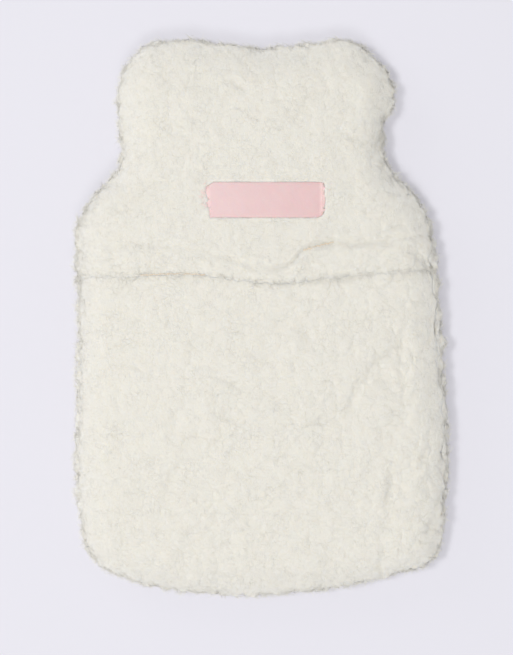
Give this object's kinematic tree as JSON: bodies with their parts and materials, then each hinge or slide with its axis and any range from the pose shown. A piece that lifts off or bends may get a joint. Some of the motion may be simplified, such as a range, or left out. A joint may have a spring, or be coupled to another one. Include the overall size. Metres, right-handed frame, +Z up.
{
  "type": "hot water bottle cover",
  "caption": "Fleece cover shaped to a hot water bottle, with closed head, neck and shoulders, a lapped hem that closes its mouth and a bare satin ribbon sewn across it",
  "frame": {"origin": "centre of the cover's base, on the surface that it lies on", "axes": "+X to the right across the cover, +Y from its foot towards its head, +Z up through its open side"},
  "size_m": [0.2296, 0.3396, 0.0447],
  "materials": {
    "fleece": "ivory curly pile fleece, matt",
    "ribbon": "blush pink satin ribbon, unprinted"
  },
  "bodies": {
    "root": {"base_panel": "fleece", "lower_panel": "fleece", "upper_panel": "fleece", "ribbon": "ribbon"}
  },
  "joints": []
}
